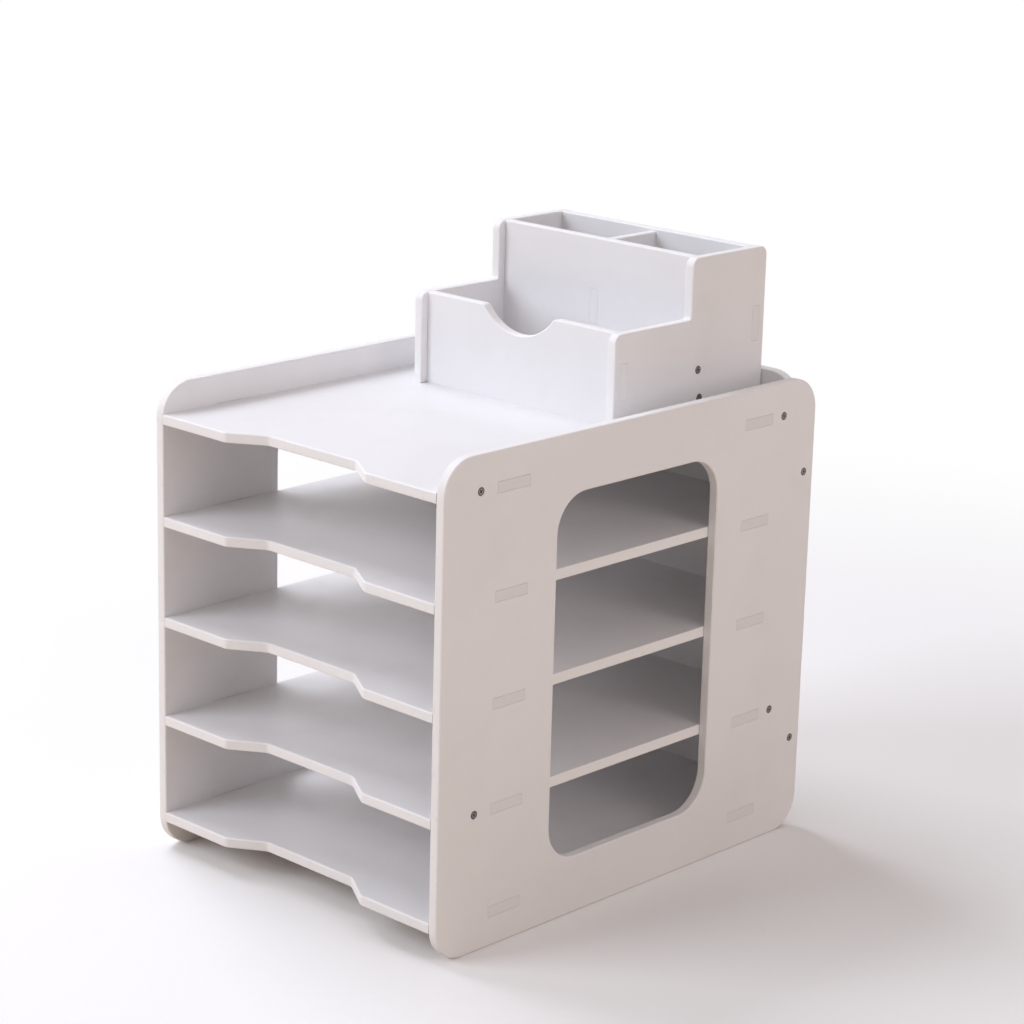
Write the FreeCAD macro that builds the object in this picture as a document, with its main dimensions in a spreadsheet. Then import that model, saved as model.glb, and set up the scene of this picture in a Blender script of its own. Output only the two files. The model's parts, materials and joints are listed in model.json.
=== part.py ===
import FreeCAD, Part
import os
import re
import Sketcher

# A file rack of white foam board, with a stepped pen box standing loose on its top board.
# Two side panels carry five boards on through tenons, a back panel closes the rear, and
# countersunk screws through the sides pull the joints tight. The pen box is made the same way.
# X runs to the right, Y to the back and Z up. The origin lies on the table, midway between
# the sides and midway between the front and rear edges of the side panels.

# Driving dimensions, in millimetres
SIZES = {
    # every board of the rack and of the pen box is cut from one sheet
    "board": 6.3,
    "edge_chamfer": 0.6,
    "slot_clearance": 0.15,
    # side panels, with one window each
    "rack_width": 240.5,
    "rack_depth": 320,
    "panel_height": 292,
    "panel_corner": 21,
    "window_length": 138.5,
    "window_height": 221,
    "window_corner": 23,
    # shelves: the distance from board to board, and the tenons on each side
    "shelf_pitch": 62.5,
    "tenon_length": 25.5,
    "tenon_inset": 54.3,
    # finger recess in the front edge of each board
    "recess_mouth": 117,
    "recess_throat": 73,
    "recess_depth": 14,
    "recess_round": 6,
    # back panel, set in from the rear edges of the side panels
    "back_inset": 5.5,
    # countersunk screws and their places on the side panels
    "screw_head": 5,
    "screw_rim": 5.6,
    "screw_shank": 3,
    "screw_length": 25,
    "screw_sink": 0.2,
    "screw_clearance": 0.15,
    "pilot_spare": 1,
    "front_screw_inset": 28.5,
    "rear_screw_inset": 30.7,
    "back_screw_rise": 86.4,
    # pen box: a low part in front and a tall part behind
    "box_width": 166,
    "box_depth": 135.7,
    "box_tall_depth": 68.5,
    "box_height": 94,
    "box_low_height": 57,
    "box_corner": 5.5,
    "box_step_round": 2,
    "box_shift": 3.3,
    "box_gap": 0.5,
    "wall_inset": 5,
    "box_tenon_length": 21.5,
    "divider_drop": 2,
    "wall_screw_height": 25.6,
    "floor_screw_shift": 2.1,
    # scoop in the top edge of the front wall
    "notch_radius": 36,
    "notch_depth": 14.5,
    "notch_shoulder": 4,
}

# Boards of the rack, from the lowest up, and those that screws hold too
BOARDS = ("bottom_board", "lower_shelf", "middle_shelf", "upper_shelf", "top_board")
SCREWED_BOARDS = ("lower_shelf", "top_board")
TOP_LEVEL = BOARDS.index("top_board")

# Sizes that follow from the driving dimensions
FORMULAS = {
    "half_width": "rack_width / 2",
    "half_depth": "rack_depth / 2",
    "half_gap": "half_width - board",
    "foot": f"(panel_height - {TOP_LEVEL} * shelf_pitch - board) / 2",
    "shelf_rear": "half_depth - back_inset - board",
    "half_tenon": "tenon_length / 2",
    "window_low": "(panel_height - window_height) / 2",
    "window_high": "(panel_height + window_height) / 2",
    "back_middle": "shelf_rear + board / 2",
    "front_screws": "front_screw_inset - half_depth",
    "rear_screws": "half_depth - rear_screw_inset",
    "head_depth": "(screw_head - screw_shank) / 2",
    "screw_hole": "screw_shank / 2 + screw_clearance",
    "pilot_depth": "screw_sink + screw_length + pilot_spare - board",
    "box_level": f"foot + {TOP_LEVEL} * shelf_pitch + board",
    "box_rear": "shelf_rear - box_gap",
    "box_front": "box_rear - box_depth",
    "box_step": "box_rear - box_tall_depth",
    "half_box": "box_width / 2",
    "half_inside": "half_box - board",
    "front_wall_face": "box_front + wall_inset",
    "middle_wall_face": "box_step + wall_inset",
    "rear_wall_face": "box_rear - wall_inset - board",
    "floor_top": "wall_inset + board",
    "half_box_tenon": "box_tenon_length / 2",
    "divider_top": "box_height - divider_drop",
    "divider_middle": "(floor_top + divider_top) / 2",
    "wall_screw_line": "middle_wall_face + board / 2",
    "floor_screw_line": "wall_screw_line + floor_screw_shift",
    "floor_middle": "wall_inset + board / 2",
}

# Rows of the two sketch axes in a point's coordinates
PLANE_AXES = {"XY_Plane": (0, 1), "XZ_Plane": (0, 2), "YZ_Plane": (1, 2)}
NEAR = SIZES["edge_chamfer"] / 100

document = FreeCAD.newDocument("file_rack")
sheet = document.addObject("Spreadsheet::Sheet", "sizes")
for row, (alias, number) in enumerate(SIZES.items(), start=1):
    sheet.set(f"A{row}", alias)
    sheet.set(f"B{row}", str(number))
    sheet.setAlias(f"B{row}", alias)
document.recompute()


def linked(text):
    """The text with each size read from the sheet and each formula written out."""

    def place(match):
        word = match.group(0)
        if word in FORMULAS:
            return f"({linked(FORMULAS[word])})"
        return f"sizes.{word}" if word in SIZES else word

    return re.sub("[a-z_]+", place, text)


def value(text):
    """The number that a text of sizes gives now."""
    return sheet.evalExpression(linked(text))


def bind(thing, field, text):
    """Tie one property of an object to the sheet."""
    thing.setExpression(field, linked(text))


def rectangle(left, right, low, high):
    """The four corners of an upright rectangle."""
    return [(left, low), (right, low), (right, high), (left, high)]


def new_body(label, **place):
    """An empty body at a place given as texts for x, y and z."""
    body = document.addObject("PartDesign::Body", label)
    for axis, text in place.items():
        bind(body, f"Placement.Base.{axis}", text)
    return body


def origin_plane(body, role):
    """One of the body's own origin planes."""
    return next(item for item in body.Origin.OriginFeatures if item.Role == role)


def new_sketch(body, name, role, offset="0"):
    """A sketch on an origin plane of the body, moved along the plane's normal."""
    sketch = body.newObject("Sketcher::SketchObject", f"{body.Name}_{name}")
    sketch.AttachmentSupport = [(origin_plane(body, role), "")]
    sketch.MapMode = "FlatFace"
    bind(sketch, "AttachmentOffset.Base.z", offset)
    return sketch


def pin_point(sketch, shape, point, place):
    """Dimension a point of a sketch from the two sketch axes."""
    for direction, text, axis in zip(("DistanceX", "DistanceY"), place, (-2, -1)):
        if text == "0":
            sketch.addConstraint(Sketcher.Constraint("PointOnObject", shape, point, axis))
            continue
        rule = Sketcher.Constraint(direction, -1, 1, shape, point, value(text))
        title = f"{direction}_{shape}"
        sketch.renameConstraint(sketch.addConstraint(rule), title)
        bind(sketch, f"Constraints.{title}", text)


def draw_outline(sketch, corners):
    """A closed outline of straight lines, fully dimensioned."""
    points = [FreeCAD.Vector(value(across), value(up), 0) for across, up in corners]
    first = sketch.GeometryCount
    for start, end in zip(points, points[1:] + points[:1]):
        sketch.addGeometry(Part.LineSegment(start, end), False)
    for number, place in enumerate(corners):
        line = first + number
        following = first + (number + 1) % len(corners)
        sketch.addConstraint(Sketcher.Constraint("Coincident", line, 2, following, 1))
        pin_point(sketch, line, 1, place)


def draw_circle(sketch, place, radius):
    """A circle, fully dimensioned."""
    centre = FreeCAD.Vector(value(place[0]), value(place[1]), 0)
    normal = FreeCAD.Vector(0, 0, 1)
    circle = sketch.addGeometry(Part.Circle(centre, normal, value(radius)), False)
    pin_point(sketch, circle, 3, place)
    rule = Sketcher.Constraint("Radius", circle, value(radius))
    title = f"Radius_{circle}"
    sketch.renameConstraint(sketch.addConstraint(rule), title)
    bind(sketch, f"Constraints.{title}", radius)


def add_plate(body, name, role, outlines):
    """Pad outlines by one board's thickness on the positive side of an origin plane."""
    sketch = new_sketch(body, name, role)
    for corners in outlines:
        draw_outline(sketch, corners)
    plate = body.newObject("PartDesign::Pad", f"{body.Name}_{name}_pad")
    plate.Profile = sketch
    plate.Reversed = role == "XZ_Plane"
    bind(plate, "Length", "board")
    document.recompute()


def cut(body, name, sketch, **settings):
    """Pocket a sketch out of the body and make sure that it takes material away."""
    before = body.Tip.Shape.Volume
    pocket = body.newObject("PartDesign::Pocket", f"{body.Name}_{name}_cut")
    pocket.Profile = sketch
    for field, setting in settings.items():
        setattr(pocket, field, setting)
    document.recompute()
    require_cut(pocket, before)
    return pocket


def require_cut(feature, before):
    """Stop where a cut has left the body as it was."""
    if not feature.Shape.Volume < before:
        raise RuntimeError(f"{feature.Name} cuts nothing")


def cut_through(body, name, role, outlines=(), circles=()):
    """Cut outlines and circles right through a plate that stands on an origin plane."""
    sketch = new_sketch(body, name, role)
    for corners in outlines:
        draw_outline(sketch, corners)
    for place, radius in circles:
        draw_circle(sketch, place, radius)
    cut(body, name, sketch, Type="ThroughAll", Reversed=role != "XZ_Plane")


def dress(body, name, kind, edges, field, size):
    """Put a Fillet or a Chamfer on edges of the body's last feature."""
    base = body.Tip
    feature = body.newObject(f"PartDesign::{kind}", f"{body.Name}_{name}")
    feature.Base = (base, edges)
    bind(feature, field, size)
    document.recompute()


def round_corners(body, name, role, corners, radius):
    """Round the edges that stand square on a plane at the given corners of an outline."""
    across, up = PLANE_AXES[role]
    places = [(value(first), value(second)) for first, second in corners]

    def stands_at(edge, place):
        return all(
            abs(vertex.Point[across] - place[0]) < NEAR and abs(vertex.Point[up] - place[1]) < NEAR
            for vertex in edge.Vertexes
        )

    edges = [
        f"Edge{number}"
        for number, edge in enumerate(body.Tip.Shape.Edges, start=1)
        if any(stands_at(edge, place) for place in places)
    ]
    dress(body, name, "Fillet", edges, "Radius", radius)


def ease_edges(body, role, low=None, high=None):
    """Chamfer the edges of a plate's two faces; low and high limit them along an axis."""
    normal = ({0, 1, 2} - set(PLANE_AXES[role])).pop()
    edges = []
    for number, edge in enumerate(body.Tip.Shape.Edges, start=1):
        box = edge.BoundBox
        lows = (box.XMin, box.YMin, box.ZMin)
        highs = (box.XMax, box.YMax, box.ZMax)
        flat = highs[normal] - lows[normal] < NEAR
        above = low is None or lows[low[0]] > value(low[1]) - NEAR
        below = high is None or highs[high[0]] < value(high[1]) + NEAR
        if flat and above and below:
            edges.append(f"Edge{number}")
    dress(body, "eased", "Chamfer", edges, "Size", "edge_chamfer")


def countersink(body, side, places):
    """Countersunk screw holes from the outer face of a side panel or side wall."""
    sketch = new_sketch(body, "screw_holes", "YZ_Plane", "board" if side > 0 else "0")
    for place in places:
        draw_circle(sketch, place, "screw_hole")
    before = body.Tip.Shape.Volume
    hole = body.newObject("PartDesign::Hole", f"{body.Name}_countersinks")
    hole.Profile = sketch
    document.recompute()
    hole.DepthType = "ThroughAll"
    hole.Reversed = side < 0
    hole.HoleCutType = "Countersink"
    hole.HoleCutCustomValues = True
    hole.HoleCutCountersinkAngle = 90
    bind(hole, "Diameter", "2 * screw_hole")
    bind(hole, "HoleCutDiameter", "screw_rim")
    document.recompute()
    require_cut(hole, before)


def drill_ends(body, half_length, places):
    """Pilot holes in both ends of a board that lies along X."""
    sketch = new_sketch(body, "pilot_holes", "YZ_Plane", half_length)
    for place in places:
        draw_circle(sketch, place, "screw_hole")
    pilots = cut(body, "pilot_holes", sketch, Type="Length")
    bind(pilots, "Length", "pilot_depth")
    mirrored = body.newObject("PartDesign::Mirrored", f"{body.Name}_left_pilots")
    mirrored.Originals = [pilots]
    mirrored.MirrorPlane = (origin_plane(body, "YZ_Plane"), [""])
    body.Tip = mirrored
    document.recompute()


def make_side_panel(label, side):
    """A side panel of the rack; side is 1 on the right and -1 on the left."""
    body = new_body(label, x="half_gap" if side > 0 else "-half_width")
    outline = rectangle("-half_depth", "half_depth", "0", "panel_height")
    add_plate(body, "outline", "YZ_Plane", [outline])
    round_corners(body, "corners", "YZ_Plane", outline, "panel_corner")
    window = rectangle("-window_length / 2", "window_length / 2", "window_low", "window_high")
    cut_through(body, "window", "YZ_Plane", [window])
    round_corners(body, "window_corners", "YZ_Plane", window, "window_corner")
    ease_edges(body, "YZ_Plane")
    slots = []
    for level in range(len(BOARDS)):
        for centre in ("(tenon_inset - half_depth)", "(half_depth - tenon_inset)"):
            slots.append(
                rectangle(
                    f"{centre} - half_tenon - slot_clearance",
                    f"{centre} + half_tenon + slot_clearance",
                    f"foot + {level} * shelf_pitch - slot_clearance",
                    f"foot + {level} * shelf_pitch + board + slot_clearance",
                )
            )
    cut_through(body, "slots", "YZ_Plane", slots)
    countersink(body, side, board_screw_places() + back_screw_places())
    return body


def board_screw_places():
    """Where screws pass through a side panel into the ends of two of the boards."""
    places = []
    for board in SCREWED_BOARDS:
        height = f"foot + {BOARDS.index(board)} * shelf_pitch + board / 2"
        places.append(("front_screws", height))
        places.append(("rear_screws", height))
    return places


def back_screw_places():
    """Where screws pass through a side panel into the edges of the back panel."""
    return [
        ("back_middle", "panel_height / 2 - back_screw_rise"),
        ("back_middle", "panel_height / 2 + back_screw_rise"),
    ]


def make_board(label, level):
    """A board of the rack, with two through tenons a side and a finger recess in front."""
    body = new_body(label, z=f"foot + {level} * shelf_pitch")
    plate = rectangle("-half_gap", "half_gap", "-half_depth", "shelf_rear")
    add_plate(body, "plate", "XY_Plane", [plate])
    recess = [
        ("-recess_mouth / 2", "-half_depth"),
        ("-recess_throat / 2", "recess_depth - half_depth"),
        ("recess_throat / 2", "recess_depth - half_depth"),
        ("recess_mouth / 2", "-half_depth"),
    ]
    cut_through(body, "recess", "XY_Plane", [recess])
    round_corners(body, "recess_corners", "XY_Plane", recess, "recess_round")
    ease_edges(body, "XY_Plane", high=(1, "recess_depth - half_depth"))
    tenons = []
    for centre in ("(tenon_inset - half_depth)", "(half_depth - tenon_inset)"):
        tenons.append(
            rectangle("-half_width", "half_width", f"{centre} - half_tenon", f"{centre} + half_tenon")
        )
    add_plate(body, "tenons", "XY_Plane", tenons)
    if label in SCREWED_BOARDS:
        drill_ends(body, "half_gap", [("front_screws", "board / 2"), ("rear_screws", "board / 2")])
    return body


def make_back_panel():
    """The full-height panel between the side panels, behind the boards."""
    body = new_body("back_panel", y="shelf_rear")
    outline = rectangle("-half_gap", "half_gap", "0", "panel_height")
    add_plate(body, "outline", "XZ_Plane", [outline])
    round_corners(body, "corners", "XZ_Plane", outline, "panel_corner")
    ease_edges(body, "XZ_Plane")
    heights = [height for line, height in back_screw_places()]
    drill_ends(body, "half_gap", [("board / 2", height) for height in heights])
    return body


def make_screws(label, side, face, base, places):
    """Countersunk, blunt-ended screws with their heads just under an outer face."""
    body = new_body(label, x=f"{face} - {side} * screw_sink", z=base)
    inward = -side
    for number, (back, up) in enumerate(places):
        sketch = new_sketch(body, f"profile_{number}", "XY_Plane", up)
        bind(sketch, "AttachmentOffset.Base.y", back)
        profile = [
            ("0", "0"),
            ("0", "screw_head / 2"),
            (f"{inward} * head_depth", "screw_shank / 2"),
            (f"{inward} * screw_length", "screw_shank / 2"),
            (f"{inward} * screw_length", "0"),
        ]
        draw_outline(sketch, profile)
        screw = body.newObject("PartDesign::Revolution", f"{body.Name}_screw_{number}")
        screw.Profile = sketch
        screw.ReferenceAxis = (sketch, ["H_Axis"])
        screw.Angle = 360
        document.recompute()
    return body


def make_box_side(label, side):
    """A side wall of the pen box, low in front and tall behind."""
    place = "half_inside" if side > 0 else "-half_box"
    body = new_body(label, x=f"box_shift + {place}", z="box_level")
    outline = [
        ("box_front", "0"),
        ("box_rear", "0"),
        ("box_rear", "box_height"),
        ("box_step", "box_height"),
        ("box_step", "box_low_height"),
        ("box_front", "box_low_height"),
    ]
    add_plate(body, "outline", "YZ_Plane", [outline])
    tops = [outline[2], outline[3], outline[5]]
    round_corners(body, "top_corners", "YZ_Plane", tops, "box_corner")
    round_corners(body, "step", "YZ_Plane", [outline[4]], "box_step_round")
    ease_edges(body, "YZ_Plane")
    slots = []
    for face, height in (("front_wall_face", "box_low_height"), ("rear_wall_face", "box_height")):
        slots.append(
            rectangle(
                f"{face} - slot_clearance",
                f"{face} + board + slot_clearance",
                f"{height} / 2 - half_box_tenon - slot_clearance",
                f"{height} / 2 + half_box_tenon + slot_clearance",
            )
        )
    cut_through(body, "slots", "YZ_Plane", slots)
    countersink(body, side, box_screw_places())
    return body


def box_screw_places():
    """Where screws pass through a side wall into the middle wall and the floor."""
    return [("wall_screw_line", "wall_screw_height"), ("floor_screw_line", "floor_middle")]


def make_cross_wall(label, face, height, foot="0"):
    """A wall across the pen box, from its foot up to a height."""
    body = new_body(label, x="box_shift", y=face, z="box_level")
    add_plate(body, "plate", "XZ_Plane", [rectangle("-half_inside", "half_inside", foot, height)])
    return body


def add_wall_tenons(body, height):
    """Through tenons at both ends of a wall, at half its height."""
    strip = rectangle(
        "-half_box", "half_box", f"{height} / 2 - half_box_tenon", f"{height} / 2 + half_box_tenon"
    )
    add_plate(body, "tenons", "XZ_Plane", [strip])


def cut_divider_slot(body):
    """The slot that takes a tenon of the divider."""
    slot = rectangle(
        "-board / 2 - slot_clearance",
        "board / 2 + slot_clearance",
        "divider_middle - half_box_tenon - slot_clearance",
        "divider_middle + half_box_tenon + slot_clearance",
    )
    cut_through(body, "divider_slot", "XZ_Plane", [slot])


def make_front_wall():
    """The low front wall, with a scoop in its top edge."""
    body = make_cross_wall("box_front_wall", "front_wall_face", "box_low_height")
    centre = "box_low_height - notch_depth + notch_radius"
    cut_through(body, "notch", "XZ_Plane", circles=[(("0", centre), "notch_radius")])
    reach = "sqrt(notch_depth * (2 * notch_radius - notch_depth))"
    shoulders = [(f"-{reach}", "box_low_height"), (reach, "box_low_height")]
    round_corners(body, "shoulders", "XZ_Plane", shoulders, "notch_shoulder")
    ease_edges(body, "XZ_Plane", low=(2, "box_low_height - notch_depth"))
    add_wall_tenons(body, "box_low_height")
    return body


def make_middle_wall():
    """The wall between the low and the tall part, standing on the floor."""
    body = make_cross_wall("box_middle_wall", "middle_wall_face", "box_height", "floor_top")
    ease_edges(body, "XZ_Plane", low=(2, "box_height"))
    cut_divider_slot(body)
    drill_ends(body, "half_inside", [("board / 2", "wall_screw_height")])
    return body


def make_rear_wall():
    """The tall rear wall."""
    body = make_cross_wall("box_rear_wall", "rear_wall_face", "box_height")
    ease_edges(body, "XZ_Plane", low=(2, "box_height"))
    add_wall_tenons(body, "box_height")
    cut_divider_slot(body)
    return body


def make_box_floor():
    """The floor, held clear of the surface below between the four outer walls."""
    body = new_body("box_floor", x="box_shift", z="box_level + wall_inset")
    inside = rectangle("-half_inside", "half_inside", "front_wall_face + board", "rear_wall_face")
    add_plate(body, "plate", "XY_Plane", [inside])
    drill_ends(body, "half_inside", [("floor_screw_line", "board / 2")])
    return body


def make_divider():
    """The divider of the tall part, with a tenon into the middle and the rear wall."""
    body = new_body("box_divider", x="box_shift - board / 2", z="box_level")
    plate = rectangle("middle_wall_face + board", "rear_wall_face", "floor_top", "divider_top")
    add_plate(body, "plate", "YZ_Plane", [plate])
    ease_edges(body, "YZ_Plane", low=(2, "divider_top"))
    tenons = rectangle(
        "middle_wall_face",
        "rear_wall_face + board",
        "divider_middle - half_box_tenon",
        "divider_middle + half_box_tenon",
    )
    add_plate(body, "tenons", "YZ_Plane", [tenons])
    return body


pieces = [
    make_side_panel("left_side_panel", -1),
    make_side_panel("right_side_panel", 1),
    make_back_panel(),
    make_front_wall(),
    make_middle_wall(),
    make_rear_wall(),
    make_box_floor(),
    make_divider(),
]
for level, label in enumerate(BOARDS):
    pieces.append(make_board(label, level))
for side, name in ((-1, "left"), (1, "right")):
    rack_face = f"{side} * half_width"
    box_face = f"box_shift + {side} * half_box"
    pieces.append(make_screws(f"{name}_board_screws", side, rack_face, "0", board_screw_places()))
    pieces.append(make_screws(f"{name}_back_screws", side, rack_face, "0", back_screw_places()))
    pieces.append(make_box_side(f"box_{name}_wall", side))
    pieces.append(make_screws(f"box_{name}_screws", side, box_face, "box_level", box_screw_places()))

document.recompute()
for thing in document.Objects:
    if "Invalid" in thing.State or "Error" in thing.State:
        raise RuntimeError(f"{thing.Name} did not build")
for piece in pieces:
    if piece.Shape.isNull() or not piece.Shape.isValid():
        raise RuntimeError(f"{piece.Label} has no sound shape")

os.makedirs("parts", exist_ok=True)
for piece in pieces:
    piece.Shape.exportStep(f"parts/{piece.Label}.step")
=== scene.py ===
import json
import math
import random

import bmesh
import bpy
from mathutils import Matrix, Vector


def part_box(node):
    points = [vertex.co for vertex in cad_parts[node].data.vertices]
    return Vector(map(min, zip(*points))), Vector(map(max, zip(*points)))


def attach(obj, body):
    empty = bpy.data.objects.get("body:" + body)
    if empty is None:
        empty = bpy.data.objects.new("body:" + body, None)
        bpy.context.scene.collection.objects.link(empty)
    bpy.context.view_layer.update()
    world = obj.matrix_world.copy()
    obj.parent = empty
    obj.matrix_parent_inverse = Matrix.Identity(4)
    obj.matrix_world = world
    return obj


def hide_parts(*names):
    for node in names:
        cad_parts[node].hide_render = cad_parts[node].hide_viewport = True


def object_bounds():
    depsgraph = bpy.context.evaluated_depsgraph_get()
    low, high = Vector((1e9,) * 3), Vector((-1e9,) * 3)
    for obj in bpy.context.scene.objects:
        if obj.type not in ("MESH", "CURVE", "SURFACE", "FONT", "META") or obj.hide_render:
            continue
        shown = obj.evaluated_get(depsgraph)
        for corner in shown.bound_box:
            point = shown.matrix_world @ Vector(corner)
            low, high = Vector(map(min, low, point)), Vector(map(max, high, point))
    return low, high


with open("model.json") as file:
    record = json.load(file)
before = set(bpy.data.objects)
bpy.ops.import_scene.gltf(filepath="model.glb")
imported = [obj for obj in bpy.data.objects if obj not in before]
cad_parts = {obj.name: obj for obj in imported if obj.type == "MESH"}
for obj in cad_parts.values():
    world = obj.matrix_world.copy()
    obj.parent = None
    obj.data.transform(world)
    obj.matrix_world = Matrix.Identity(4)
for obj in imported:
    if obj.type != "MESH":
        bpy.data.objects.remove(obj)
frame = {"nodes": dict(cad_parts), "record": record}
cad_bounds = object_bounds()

# A file rack and its pen box, cut from white foamed board and put together with tenons and
# small countersunk screws. Lengths are in metres.
MM = 0.001
X, Y, Z = range(3)

# The camera, worked out from the edges of the rack in the photograph; its focal length is in pixels
CAMERA_PLACE = Vector((1.184065, -1.228697, 0.692518))
CAMERA_AZIMUTH = math.radians(43.487)
CAMERA_ELEVATION = math.radians(15.802)
CAMERA_ROLL = math.radians(1.472)
CAMERA_FOCUS = 2930.1
CAMERA_REACH = 100
PICTURE_WIDTH = 1024
SENSOR_WIDTH = 36

# Studio: light levels at which a colour shows about as it is written. The light of the room and
# of the right lamp is a little warm and that of the left lamps a little cool, as in the photograph.
EVEN_LEVEL = 0.27
OVERHEAD_LEVEL = 0.215
ROOM_TINT = (1.0, 0.907, 0.87, 1)
LAMP_DISTANCE = 3.0
LAMP_SIZE = 1.7
COOL_TINT = (0.853, 0.893, 0.99)
WARM_TINT = (1.0, 0.918, 0.935)

# Each lamp as degrees round from the front to the left, degrees up, watts and tint
LAMPS = {
    "front_left": (30, 28, 46.2, COOL_TINT),
    "high_left": (90, 50, 49.8, COOL_TINT),
    "low_right": (-90, 15, 21.1, WARM_TINT),
}
FLOOR_HALF = 8
FLOOR_DROP = 0.1 * MM
FLOOR_FADE = (0.45, 1.1)
FLOOR_WHITE = (0.96, 0.96, 0.96, 1)
FLOOR_BOUNCE = (0.69, 0.58, 0.46, 1)
WHITE = (1, 1, 1, 1)

# Foamed board: its skin, its core where it was cut, and the marks on both
SKIN_LIGHT = (0.85, 0.845, 0.86, 1)
SKIN_DULL = (0.825, 0.82, 0.832, 1)
CORE_WHITE = (0.88, 0.875, 0.88, 1)
CORE_PIT = (0.74, 0.73, 0.72, 1)
SCUFF_GREY = (0.60, 0.59, 0.57, 1)
SKIN_ROUGHNESS = 0.42
SMUDGE_ROUGHNESS = 0.12
CORE_ROUGHNESS = 0.68

# How nearly a face has to point across the board to start and to end its change to skin
SKIN_FACING = (0.80, 0.96)

# Patches on the board: waves a metre, detail, and where the smooth step starts and ends
CLOUDS = (9, 4, 0.35, 0.68)
SMUDGES = (38, 5, 0.52, 0.74)
SCUFFS = (240, 6, 0.60, 0.72)

# Pits in the board: cells a metre, and where the smooth step starts and ends
SPECKS = (55, 0.012, 0.022)
PORES = (2300, 0.12, 0.34)

# The board's relief: waves a metre, detail and height, and the depth of its pores
SKIN_PEEL = (330, 2, 0.035 * MM)
SKIN_GRAIN = (2600, 2, 0.010 * MM)
SAW_CHATTER = (900, 1, 0.02 * MM)
PORE_DEPTH = 0.02 * MM

# How much of its own colour each mark takes on
SPECK_SHARE = 0.5
SMUDGE_SHARE = 0.06
PORE_SHARE = 0.6
SCUFF_SHARE = 0.14
TENON_SHARE = 0.9

# Edges of the boards: the chamfers that sanding rounds lie between these two bends
MERGE_DISTANCE = 0.001 * MM
FLAT_BEND = math.radians(0.4)
CHAMFER_BENDS = (math.radians(30), math.radians(60))
SMOOTH_BEND = math.radians(32)
SANDED_ROUND = 0.25 * MM
SANDED_STEPS = 3
FACE_WEIGHT = 80

# Screws: zinc-plated steel, countersunk, with a cross recess and a blunt end. The tip's radius and
# the tapers' lengths are shares of the core's radius. The tool that cuts the recess stands proud of
# the head by a share of the recess's depth, and narrows to a share of its own width.
SHANK_RADIUS = 1.5 * MM
CORE_RADIUS = 1.15 * MM
TIP_SHARE = 0.7
CORE_TAPER = 0.4
THREAD_PITCH = 1.3 * MM
THREAD_START = 2.6 * MM
THREAD_ROOT = 1.0 * MM
THREAD_STEPS = 24
RECESS_SPAN = 2.7 * MM
RECESS_WING = 0.6 * MM
RECESS_DEPTH = 1.3 * MM
RECESS_PROUD = 0.1
RECESS_TAPER = 0.4
END_FACING = 0.9
HEAD_LAND = 0.2 * MM
ROUND_STEPS = 48
RIM_REACH = 1.2

# The thread's section is a triangle, so many times as high as the radius of its circle
TRIANGLE_HEIGHT = 1.5

# The head's face is painted bright inside the first share of its radius, a painted glint, and dark from the
# second on: a darker steel rim with the countersink's shade painted on it.
# The margin takes in the points that lie on the first share's own ring.
GLINT_SHARE = 0.58
RING_SHARE = 0.72
GLINT_MARGIN = 1.01
# Painted light: the first colour below is the painted glint, and the second is dark steel that also carries
# the painted shade of the countersink.
STEEL_GLINT = (0.33, 0.315, 0.305, 1)
STEEL_DARK = (0.115, 0.098, 0.093, 1)
TURNING_STRETCH = (1, 0.2, 0.2)
TURNING_LINES = (6000, 3)
TURNING_DEPTH = 0.006 * MM
STEEL_STAINS = (1100, 4, 0.42, 0.66)
STAIN_SHARE = 0.45
STEEL_ROUGHNESS = 0.48
GLINT_ROUGHNESS = 0.14
LINE_ROUGHNESS = 0.12
SPIN_SEED = 7

# The two side boards of each body, and the tone of the tenon ends that show in them
SIDE_BOARDS = {
    "rack": ("left_side_panel", "right_side_panel"),
    "pen_box": ("box_left_wall", "box_right_wall"),
}
TENON_TONES = {"rack": (0.785, 0.778, 0.80, 1), "pen_box": (0.83, 0.825, 0.84, 1)}

# The one board whose tenons don't reach the side boards, and the two walls that they do reach
DIVIDER = "box_divider"
DIVIDER_WALLS = ("box_middle_wall", "box_rear_wall")


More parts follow.
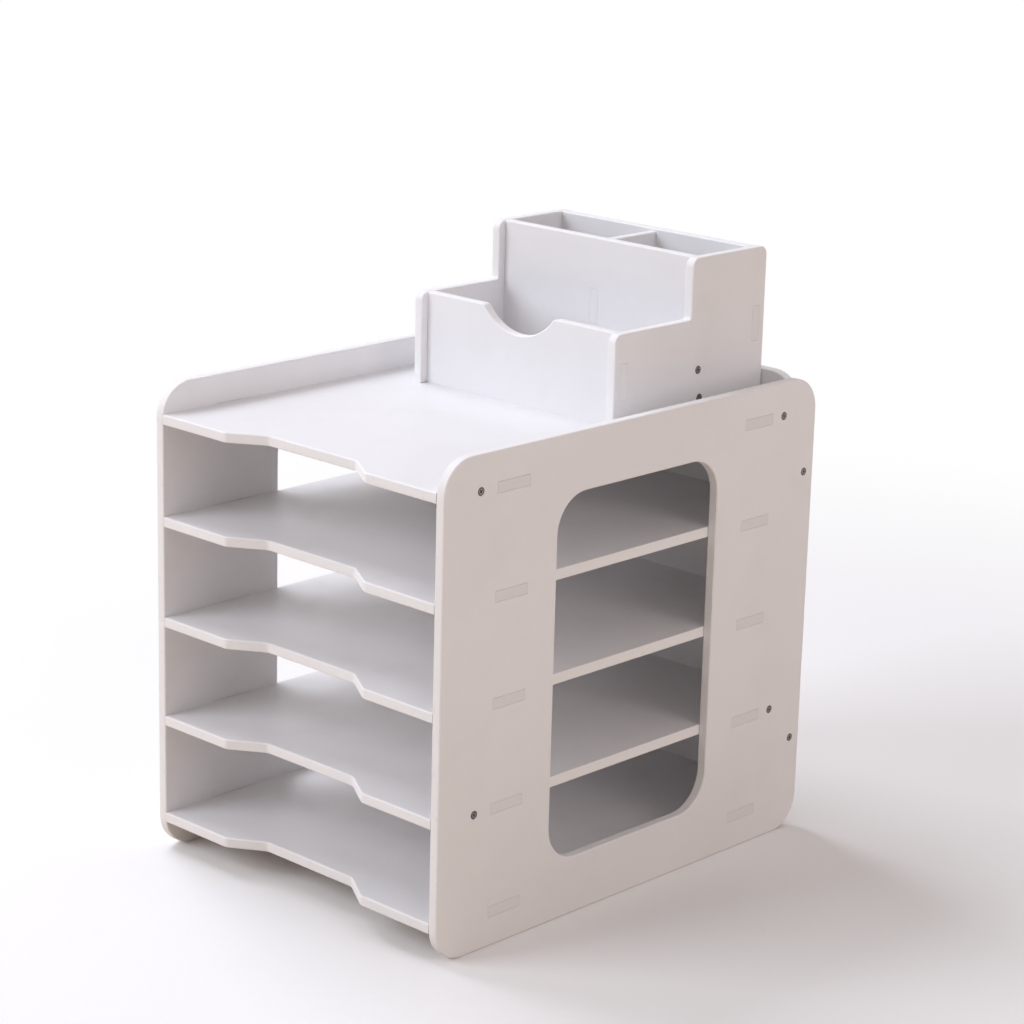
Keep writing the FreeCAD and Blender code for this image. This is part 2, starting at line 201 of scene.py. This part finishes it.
class Wire:
    """A shader socket that sums and products work on: each adds its Math node."""

    def __init__(self, tree, socket=None):
        self.tree = tree
        self.socket = socket

    def node(self, kind, settings=(), sockets=(), output=0):
        """Add a node with its settings, then its sockets as values or wires; give one output."""
        made = self.tree.nodes.new(kind)
        for name, setting in dict(settings).items():
            setattr(made, name, setting)
        for name, feed in dict(sockets).items():
            if isinstance(feed, Wire):
                self.tree.links.new(feed.socket, made.inputs[name])
            else:
                made.inputs[name].default_value = feed
        return Wire(self.tree, made.outputs[output] if made.outputs else None)

    def math(self, operation, *operands):
        """A Math node on numbers and wires."""
        return self.node("ShaderNodeMath", {"operation": operation}, enumerate(operands))

    def step(self, start, end):
        """0 up to start, 1 from end on, and a smooth rise between them."""
        sockets = {"Value": self, "From Min": start, "From Max": end}
        return self.node("ShaderNodeMapRange", {"interpolation_type": "SMOOTHSTEP"}, sockets)

    def blend(self, first, second):
        """The first colour at 0 and the second at 1."""
        sockets = {0: self, 6: first, 7: second}
        return self.node("ShaderNodeMix", {"data_type": "RGBA"}, sockets, output=2)

    def noise(self, place, scale, detail):
        """Cloudy noise between 0 and 1."""
        return self.node("ShaderNodeTexNoise", (), {"Vector": place, "Scale": scale, "Detail": detail})

    def patches(self, place, scale, detail, start, end):
        """Patches with soft edges: 1 inside and 0 between them."""
        return self.noise(place, scale, detail).step(start, end)

    def relief(self, place, scale, detail, height):
        """Cloudy heights between 0 and the given one."""
        return self.noise(place, scale, detail) * height

    def pits(self, place, scale, start, end):
        """Small round pits: 1 in each pit's middle and 0 between them."""
        cells = self.node("ShaderNodeTexVoronoi", (), {"Vector": place, "Scale": scale})
        return 1 - cells.step(start, end)

    def __add__(self, other):
        return self.math("ADD", self, other)

    def __sub__(self, other):
        return self.math("SUBTRACT", self, other)

    def __mul__(self, other):
        return self.math("MULTIPLY", self, other)

    def __rsub__(self, other):
        return self.math("SUBTRACT", other, self)

    __radd__ = __add__
    __rmul__ = __mul__


def new_material(name):
    """An empty node material, and the wire that its nodes start from."""
    material = bpy.data.materials.new(name)
    material.use_nodes = True
    material.node_tree.nodes.clear()
    return material, Wire(material.node_tree)


def finish_surface(start, colour, roughness, height, metallic=0.0):
    """End a material in its shader: height is in metres."""
    relief = start.node("ShaderNodeBump", (), {"Strength": 1.0, "Distance": 1.0, "Height": height})
    sockets = {"Base Color": colour, "Roughness": roughness, "Metallic": metallic, "Normal": relief}
    shader = start.node("ShaderNodeBsdfPrincipled", (), sockets)
    start.node("ShaderNodeOutputMaterial", (), {"Surface": shader})


def foam_board(name, thin, span, tenon_tone):
    """White foamed board: a satin skin on both faces, and a duller, porous core where it was cut.

    The span is the axis along which the board runs and the two walls' places on it; its tenons
    reach past them.
    """
    material, start = new_material(name)
    place = start.node("ShaderNodeTexCoord", output="Object")
    facing = start.node("ShaderNodeTexCoord", output="Normal")
    upright = start.node("ShaderNodeSeparateXYZ", (), {0: facing}, output=thin)
    skin = start.math("ABSOLUTE", upright).step(*SKIN_FACING)
    cut = 1 - skin

    cloud = start.patches(place, *CLOUDS)
    smudge = start.patches(place, *SMUDGES)
    speck = start.pits(place, *SPECKS)
    pore = start.pits(place, *PORES)
    scuff = start.patches(place, *SCUFFS) * cut

    peel = start.relief(place, *SKIN_PEEL)
    grain = start.relief(place, *SKIN_GRAIN)

    # The saw's lines run straight through the thickness, so the place across it plays no part
    keep = [1.0, 1.0, 1.0]
    keep[thin] = 0.0
    along = start.node("ShaderNodeVectorMath", {"operation": "MULTIPLY"}, {0: place, 1: keep})
    chatter = start.relief(along, *SAW_CHATTER)
    height = (peel + grain) * skin + (chatter - pore * PORE_DEPTH) * cut

    colour = cloud.blend(SKIN_LIGHT, SKIN_DULL)
    colour = (speck * skin * SPECK_SHARE).blend(colour, SCUFF_GREY)
    colour = (smudge * skin * SMUDGE_SHARE).blend(colour, SCUFF_GREY)
    colour = cut.blend(colour, (pore * PORE_SHARE).blend(CORE_WHITE, CORE_PIT))
    colour = (scuff * SCUFF_SHARE).blend(colour, SCUFF_GREY)
    roughness = (SKIN_ROUGHNESS + smudge * SMUDGE_ROUGHNESS) * skin + CORE_ROUGHNESS * cut

    along_axis, low_wall, high_wall = span
    if thin != along_axis:
        side = start.node("ShaderNodeSeparateXYZ", (), {0: place}, output=along_axis)
        middle, reach = (low_wall + high_wall) / 2, (high_wall - low_wall) / 2
        tenon = start.math("GREATER_THAN", start.math("ABSOLUTE", side - middle), reach)
        colour = (tenon * TENON_SHARE).blend(colour, tenon_tone)
    finish_surface(start, colour, roughness, height)
    return material


def screw_steel():
    """Zinc-plated steel: a painted glint, bright in the middle of the head, and dark on its rim and thread,
    the rim's dark partly painted shade of the countersink.
    """
    material, start = new_material("screw_steel")
    place = start.node("ShaderNodeTexCoord", output="Object")
    painted_glint = start.node("ShaderNodeAttribute", {"attribute_name": "painted_glint"}, output="Fac")
    turned = start.node("ShaderNodeVectorMath", {"operation": "MULTIPLY"}, {0: place, 1: TURNING_STRETCH})
    lines = start.noise(turned, *TURNING_LINES)
    stain = start.patches(place, *STEEL_STAINS)
    # Painted light: bright carries the painted glint of the head's middle, and the dark colour the painted
    # shade of its rim.
    bright = painted_glint * (1 - stain * STAIN_SHARE)
    colour = bright.blend(STEEL_DARK, STEEL_GLINT)
    roughness = STEEL_ROUGHNESS - bright * GLINT_ROUGHNESS + lines * LINE_ROUGHNESS
    finish_surface(start, colour, roughness, lines * TURNING_DEPTH, metallic=1.0)
    return material


def select_only(*objects):
    """Select these objects alone, the first one active."""
    bpy.ops.object.select_all(action="DESELECT")
    for item in objects:
        item.select_set(True)
    bpy.context.view_layer.objects.active = objects[0]


def apply_modifier(item, kind, **settings):
    """Put a modifier on an object and apply it."""
    modifier = item.modifiers.new(kind.lower(), kind)
    for name, setting in settings.items():
        setattr(modifier, name, setting)
    select_only(item)
    bpy.ops.object.modifier_apply(modifier=modifier.name)


def combine(item, tool, operation):
    """Join or cut an object with a tool, which is then gone, and merge the slivers this leaves."""
    apply_modifier(item, "BOOLEAN", object=tool, operation=operation, solver="EXACT")
    bpy.data.objects.remove(tool)
    bpy.ops.object.mode_set(mode="EDIT")
    bpy.ops.mesh.select_all(action="SELECT")
    bpy.ops.mesh.remove_doubles(threshold=MERGE_DISTANCE)
    bpy.ops.mesh.dissolve_degenerate(threshold=MERGE_DISTANCE)
    bpy.ops.object.mode_set(mode="OBJECT")


def thin_axis(node):
    """The axis across a board's thickness."""
    low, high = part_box(node)
    return min((X, Y, Z), key=lambda axis: high[axis] - low[axis])


def finish_board(node, body, material):
    """A CAD board with its corners merged and its chamfers sanded round."""
    board = bpy.data.objects.new(f"{node}_board", frame["nodes"][node].data.copy())
    bpy.context.scene.collection.objects.link(board)
    select_only(board)
    bpy.ops.object.mode_set(mode="EDIT")
    bpy.ops.mesh.select_all(action="SELECT")
    bpy.ops.mesh.remove_doubles(threshold=MERGE_DISTANCE)
    bpy.ops.mesh.dissolve_limited(angle_limit=FLAT_BEND)
    bpy.ops.mesh.select_all(action="DESELECT")
    bpy.ops.mesh.select_mode(type="EDGE")
    shape = bmesh.from_edit_mesh(board.data)
    low, high = CHAMFER_BENDS
    for edge in shape.edges:
        edge.select_set(len(edge.link_faces) == 2 and low < edge.calc_face_angle() < high)
    bmesh.update_edit_mesh(board.data)
    bpy.ops.mesh.bevel(offset=SANDED_ROUND, segments=SANDED_STEPS, clamp_overlap=True)
    bpy.ops.object.mode_set(mode="OBJECT")
    bpy.ops.object.shade_smooth_by_angle(angle=SMOOTH_BEND, keep_sharp_edges=False)
    apply_modifier(board, "WEIGHTED_NORMAL", keep_sharp=True, weight=FACE_WEIGHT)
    board.data.materials.clear()
    board.data.materials.append(material)
    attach(board, body)
    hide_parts(node)


def turn_profile(name, stations):
    """A closed round body along X through rings given as (place on X, radius)."""
    (first, radius), *others = stations
    turn = (0, math.radians(90), 0)
    bpy.ops.mesh.primitive_circle_add(
        vertices=ROUND_STEPS, radius=radius, fill_type="NGON", location=(first, 0, 0), rotation=turn
    )
    body = bpy.context.object
    body.name = name
    bpy.ops.object.transform_apply(location=True, rotation=True, scale=True)
    bpy.ops.object.mode_set(mode="EDIT")
    bpy.ops.mesh.select_all(action="SELECT")
    for place, wider in others:
        bpy.ops.mesh.extrude_region_move(TRANSFORM_OT_translate={"value": (place - first, 0, 0)})
        ratio = wider / radius
        bpy.ops.transform.resize(value=(1, ratio, ratio), center_override=(place, 0, 0))
        first, radius = place, wider
    bpy.ops.mesh.select_all(action="SELECT")
    bpy.ops.mesh.normals_make_consistent(inside=False)
    bpy.ops.object.mode_set(mode="OBJECT")
    return body


def build_thread(length):
    """The ridge of the thread as one closed helix round the X axis."""
    ridge_radius = (SHANK_RADIUS - THREAD_ROOT) / TRIANGLE_HEIGHT
    start = (-length + ridge_radius, THREAD_ROOT + ridge_radius / 2, 0)
    bpy.ops.mesh.primitive_circle_add(vertices=3, radius=ridge_radius, location=start)
    ridge = bpy.context.object
    bpy.ops.object.transform_apply(location=True, rotation=True, scale=True)
    turns = int((length - THREAD_START) / THREAD_PITCH) - 1
    winding = {"axis": "X", "angle": math.tau, "screw_offset": THREAD_PITCH, "iterations": turns}
    apply_modifier(ridge, "SCREW", steps=THREAD_STEPS, render_steps=THREAD_STEPS, **winding)
    bpy.ops.object.mode_set(mode="EDIT")
    bpy.ops.mesh.select_all(action="SELECT")
    bpy.ops.mesh.remove_doubles(threshold=MERGE_DISTANCE)
    bpy.ops.mesh.fill_holes(sides=0)
    bpy.ops.mesh.normals_make_consistent(inside=False)
    bpy.ops.object.mode_set(mode="OBJECT")
    return ridge


def build_recess():
    """The tool that cuts the cross recess: two tapered blades at right angles."""
    blades = []
    for turn in (0, math.radians(90)):
        span = (RECESS_DEPTH * (1 + RECESS_PROUD), RECESS_SPAN, RECESS_WING)
        middle = -RECESS_DEPTH * (1 - RECESS_PROUD) / 2
        bpy.ops.mesh.primitive_cube_add(size=1, scale=span, location=(middle, 0, 0))
        blade = bpy.context.object
        bpy.ops.object.transform_apply(location=True, rotation=True, scale=True)
        bpy.ops.object.mode_set(mode="EDIT")
        bpy.ops.mesh.select_all(action="DESELECT")
        shape = bmesh.from_edit_mesh(blade.data)
        for face in shape.faces:
            face.select_set(face.normal.x < -END_FACING)
        bmesh.update_edit_mesh(blade.data)
        bpy.ops.transform.resize(value=(1, RECESS_TAPER, RECESS_TAPER), center_override=(-RECESS_DEPTH, 0, 0))
        bpy.ops.object.mode_set(mode="OBJECT")
        blade.data.transform(Matrix.Rotation(turn, 4, "X"))
        blades.append(blade)
    combine(blades[0], blades[1], "UNION")
    return blades[0]


def mark_painted_glint(screw, head_radius):
    """Write where the head carries the painted glint: its middle, and not its rim or recess, which stay dark
    as painted shade.
    """
    painted_glint = screw.data.attributes.new("painted_glint", "FLOAT", "POINT")
    for vertex, mark in zip(screw.data.vertices, painted_glint.data):
        radius = math.hypot(vertex.co.y, vertex.co.z)
        # Painted glint: 1 on the head's face inside the glint's share of its radius, 0 everywhere else.
        bright = vertex.co.x > -MERGE_DISTANCE and radius < GLINT_SHARE * head_radius * GLINT_MARGIN
        mark.value = 1.0 if bright else 0.0


def build_screw(material):
    """One screw, its head's face at the origin and its shank along -X."""
    low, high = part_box("right_back_screws")
    head_radius = (high.y - low.y) / 2
    length = high.x - low.x
    neck = -(head_radius - SHANK_RADIUS) - HEAD_LAND
    stations = [
        (-length, CORE_RADIUS * TIP_SHARE),
        (-length + CORE_RADIUS * CORE_TAPER, CORE_RADIUS),
        (-THREAD_START - CORE_RADIUS * CORE_TAPER, CORE_RADIUS),
        (-THREAD_START, SHANK_RADIUS),
        (neck, SHANK_RADIUS),
        (-HEAD_LAND, head_radius),
        (-HEAD_LAND / 2, head_radius),
        (0, head_radius - HEAD_LAND / 2),
        (0, head_radius * RING_SHARE),
        (0, head_radius * GLINT_SHARE),
    ]
    screw = turn_profile("screw_pattern", stations)
    combine(screw, build_thread(length), "UNION")
    combine(screw, build_recess(), "DIFFERENCE")
    mark_painted_glint(screw, head_radius)
    select_only(screw)
    bpy.ops.object.shade_smooth_by_angle(angle=SMOOTH_BEND)
    screw.data.materials.clear()
    screw.data.materials.append(material)
    return screw


def head_centres(node, outer):
    """The middle of each screw head of a CAD node, from the rims in its mesh."""
    low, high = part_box("right_back_screws")
    reach = (high.y - low.y) * RIM_REACH
    rims = []
    for vertex in frame["nodes"][node].data.vertices:
        if abs(vertex.co.x - outer) > MERGE_DISTANCE:
            continue
        rim = next((rim for rim in rims if (rim[0] - vertex.co).length < reach), None)
        if rim:
            rim.append(vertex.co)
        else:
            rims.append([vertex.co])
    centres = []
    for rim in rims:
        ends = [(min(place[axis] for place in rim), max(place[axis] for place in rim)) for axis in (Y, Z)]
        centres.append(Vector((outer, sum(ends[0]) / 2, sum(ends[1]) / 2)))
    return sorted(centres, key=tuple)


def place_screws(node, body, pattern, spins):
    """All screws of a CAD node as one piece, each turned as it came to rest."""
    low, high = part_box(node)
    right = low.x > 0
    screws = []
    for centre in head_centres(node, high.x if right else low.x):
        screw = bpy.data.objects.new(node, pattern.data.copy())
        bpy.context.scene.collection.objects.link(screw)
        facing = Matrix.Identity(4) if right else Matrix.Rotation(math.pi, 4, "Z")
        screw.data.transform(Matrix.Rotation(spins.uniform(0, math.pi / 2), 4, "X"))
        screw.data.transform(Matrix.Translation(centre) @ facing)
        screws.append(screw)
    select_only(*screws)
    bpy.ops.object.join()
    group = screws[0]
    group.name = f"{node}_group"
    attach(group, body)
    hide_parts(node)


def add_camera():
    """The camera at the photograph's place and angle."""
    sin_a, cos_a = math.sin(CAMERA_AZIMUTH), math.cos(CAMERA_AZIMUTH)
    sin_e, cos_e = math.sin(CAMERA_ELEVATION), math.cos(CAMERA_ELEVATION)
    back = Vector((sin_a * cos_e, -cos_a * cos_e, sin_e))
    right = Vector((cos_a, sin_a, 0))
    turn = Matrix((right, back.cross(right), back)).transposed() @ Matrix.Rotation(CAMERA_ROLL, 3, "Z")
    bpy.ops.object.camera_add()
    camera = bpy.context.object
    camera.matrix_world = Matrix.Translation(CAMERA_PLACE) @ turn.to_4x4()
    camera.data.sensor_width = SENSOR_WIDTH
    camera.data.lens = CAMERA_FOCUS / PICTURE_WIDTH * SENSOR_WIDTH
    camera.data.clip_end = CAMERA_REACH
    bpy.context.scene.camera = camera


def add_lamp(name, round_left, up, power, tint):
    """A square soft lamp that faces the middle of the part."""
    low, high = cad_bounds
    turn, rise = math.radians(round_left), math.radians(up)
    direction = Vector((-math.sin(turn) * math.cos(rise), -math.cos(turn) * math.cos(rise), math.sin(rise)))
    bpy.ops.object.light_add(type="AREA")
    lamp = bpy.context.object
    lamp.name = f"lamp_{name}"
    lamp.location = (low + high) / 2 + direction * LAMP_DISTANCE
    lamp.rotation_euler = direction.to_track_quat("Z", "Y").to_euler()
    lamp.data.size = LAMP_SIZE
    lamp.data.energy = power
    lamp.data.color = tint


def seen_directly(start):
    """1 for rays that show the background: straight on, in metal or through glass."""
    rays = start.node("ShaderNodeLightPath", output="Is Camera Ray")
    for other in ("Is Glossy Ray", "Is Transmission Ray"):
        rays = start.math("MAXIMUM", rays, start.node("ShaderNodeLightPath", output=other))
    return rays


def light_world():
    """Soft light that grows towards overhead, and a white background where it is seen."""
    world = bpy.data.worlds.new("studio")
    bpy.context.scene.world = world
    world.use_nodes = True
    world.node_tree.nodes.clear()
    start = Wire(world.node_tree)
    heading = start.node("ShaderNodeTexCoord", output="Generated")
    height = start.node("ShaderNodeSeparateXYZ", (), {0: heading}, output=Z)
    level = start.math("MAXIMUM", height, 0.0) * OVERHEAD_LEVEL + EVEN_LEVEL
    soft = start.node("ShaderNodeBackground", (), {"Color": ROOM_TINT, "Strength": level})
    shown = start.node("ShaderNodeBackground", (), {"Color": WHITE, "Strength": 1.0})
    mixed = start.node("ShaderNodeMixShader", (), {0: seen_directly(start), 1: soft, 2: shown})
    start.node("ShaderNodeOutputWorld", (), {"Surface": mixed})


def add_floor():
    """A pale floor that keeps the rack's shadow and fades into the background."""
    bpy.ops.mesh.primitive_plane_add(size=2 * FLOOR_HALF, location=(0, 0, -FLOOR_DROP))
    floor = bpy.context.object
    floor.name = "floor"
    material, start = new_material("floor")
    seen = seen_directly(start)
    place = start.node("ShaderNodeTexCoord", output="Object")
    reach = start.node("ShaderNodeVectorMath", {"operation": "LENGTH"}, {0: place}, output="Value")
    pale = seen.blend(FLOOR_BOUNCE, FLOOR_WHITE)
    matt = start.node("ShaderNodeBsdfDiffuse", (), {"Color": pale})
    plain = start.node("ShaderNodeEmission", (), {"Color": WHITE, "Strength": 1.0})
    mixed = start.node("ShaderNodeMixShader", (), {0: reach.step(*FLOOR_FADE) * seen, 1: matt, 2: plain})
    start.node("ShaderNodeOutputMaterial", (), {"Surface": mixed})
    floor.data.materials.append(material)


def clear_span(axis, first, second):
    """The axis, and the places on it where the clear space between two boards starts and ends."""
    return axis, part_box(first)[1][axis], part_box(second)[0][axis]


def dress_body(body, sides, pattern, spins):
    """Finish every board and every group of screws of one body, given its two side boards."""
    finishes = {}
    for node in frame["record"]["behaviour"]["bodies"][body]:
        if node.endswith("screws"):
            place_screws(node, body, pattern, spins)
            continue
        thin = thin_axis(node)
        span = clear_span(Y, *DIVIDER_WALLS) if node == DIVIDER else clear_span(X, *sides)
        if (thin, span) not in finishes:
            name = f"{body}_board_{'xyz'[thin]}_{'xyz'[span[0]]}"
            finishes[thin, span] = foam_board(name, thin, span, TENON_TONES[body])
        finish_board(node, body, finishes[thin, span])


add_camera()
light_world()
for name, lamp_values in LAMPS.items():
    add_lamp(name, *lamp_values)
add_floor()
screw_pattern = build_screw(screw_steel())
screw_spins = random.Random(SPIN_SEED)
for body, sides in SIDE_BOARDS.items():
    dress_body(body, sides, screw_pattern, screw_spins)
bpy.data.objects.remove(screw_pattern)
bpy.context.scene.view_settings.view_transform = "Standard"
